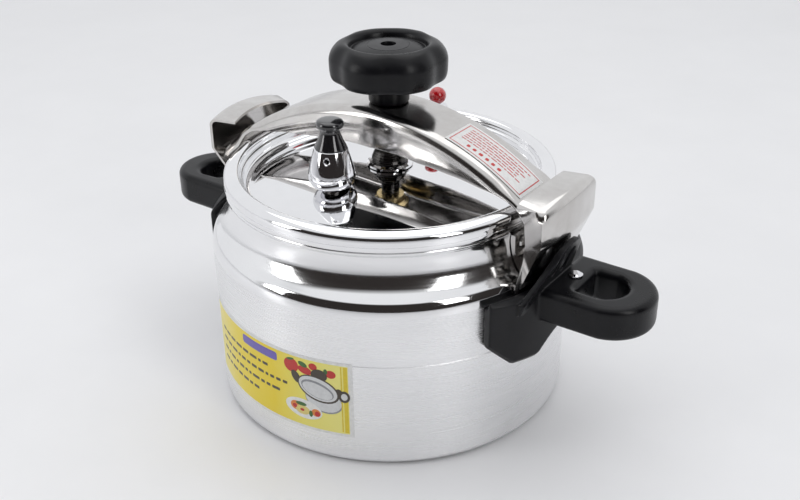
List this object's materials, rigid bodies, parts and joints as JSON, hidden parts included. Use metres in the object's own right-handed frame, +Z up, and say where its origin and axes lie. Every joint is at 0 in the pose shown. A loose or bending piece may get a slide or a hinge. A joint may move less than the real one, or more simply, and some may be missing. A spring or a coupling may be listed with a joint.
{
  "type": "pressure cooker",
  "caption": "Round aluminium pressure cooker with a recessed screw-down lid, arched clamp bow, lobed centre knob, steam weight, pressure signal and loop side handles.",
  "frame": {"origin": "centre of the pot's base, on the resting surface", "axes": "+Z up along the pot's axis; +X along the bow, towards the handle that is on the right in front view; +Y towards the back"},
  "size_m": [0.35, 0.2205, 0.2178],
  "materials": {
    "satin_aluminium": "satin, fine turned lines",
    "polished_aluminium": "mirror polished",
    "polished_steel": "polished stainless",
    "chrome": "bright plated",
    "brass": "turned",
    "black_bakelite": "moulded, semi-gloss",
    "gasket_rubber": "matt",
    "red_ball": "gloss",
    "label_print": "coated print",
    "caution_print": "coated print"
  },
  "bodies": {
    "pot": {"pot_body": "satin_aluminium", "ear_right": "polished_steel", "ear_left": "polished_steel", "ear_rivet_right_front": "polished_steel", "ear_rivet_right_back": "polished_steel", "ear_rivet_left_front": "polished_steel", "ear_rivet_left_back": "polished_steel", "handle_right": "black_bakelite", "handle_left": "black_bakelite", "handle_bracket_right": "polished_steel", "handle_bracket_left": "polished_steel", "handle_screw_right": "chrome", "handle_screw_left": "chrome", "body_label": "label_print"},
    "seal": {"lid_gasket": "gasket_rubber"},
    "lid": {"lid": "polished_aluminium", "lid_centre_boss": "polished_aluminium", "pressure_foot": "polished_steel", "vent_pipe": "polished_steel", "vent_lock_nut": "polished_steel", "signal_washer": "chrome", "signal_housing": "chrome", "signal_seal": "gasket_rubber", "signal_lock_nut": "polished_steel"},
    "bow": {"bow": "polished_steel", "bow_bush": "brass", "clamp_head_right": "polished_steel", "clamp_head_left": "polished_steel", "caution_sticker": "caution_print"},
    "knob": {"knob": "black_bakelite", "spindle": "polished_steel"},
    "weight": {"weight_body": "chrome", "weight_cap": "black_bakelite", "weight_needle": "polished_steel"},
    "signal": {"signal_pin": "chrome", "signal_clip": "polished_steel", "signal_ball": "red_ball"}
  },
  "joints": [
    {"name": "lid_lift", "type": "slide", "parent": "pot", "child": "seal", "axis": [0, 0, 1], "range_m": [0, 0.06]},
    {"name": "lid_turn", "type": "hinge", "parent": "seal", "child": "lid", "pos_m": [0, 0, 0.133], "axis": [0, 0, -1], "range_deg": [0, 150]},
    {"name": "knob_turn", "type": "hinge", "parent": "lid", "child": "knob", "pos_m": [0, 0, 0.182], "axis": [0, 0, 1], "range_deg": [0, 360]},
    {"name": "bow_drop", "type": "slide", "parent": "lid", "child": "bow", "axis": [0, 0, -1], "range_m": [0, 0.0015]},
    {"name": "weight_lift", "type": "slide", "parent": "lid", "child": "weight", "axis": [0, 0, 1], "range_m": [0, 0.03]},
    {"name": "signal_rise", "type": "slide", "parent": "lid", "child": "signal", "axis": [0, 0, 1], "range_m": [0, 0.004]}
  ],
  "couplings": [
    {"joint": "lid_turn", "follows": "lid_lift", "rad_per_m": 43.633},
    {"joint": "bow_drop", "follows": "knob_turn", "m_per_rad": 0.00023872}
  ]
}
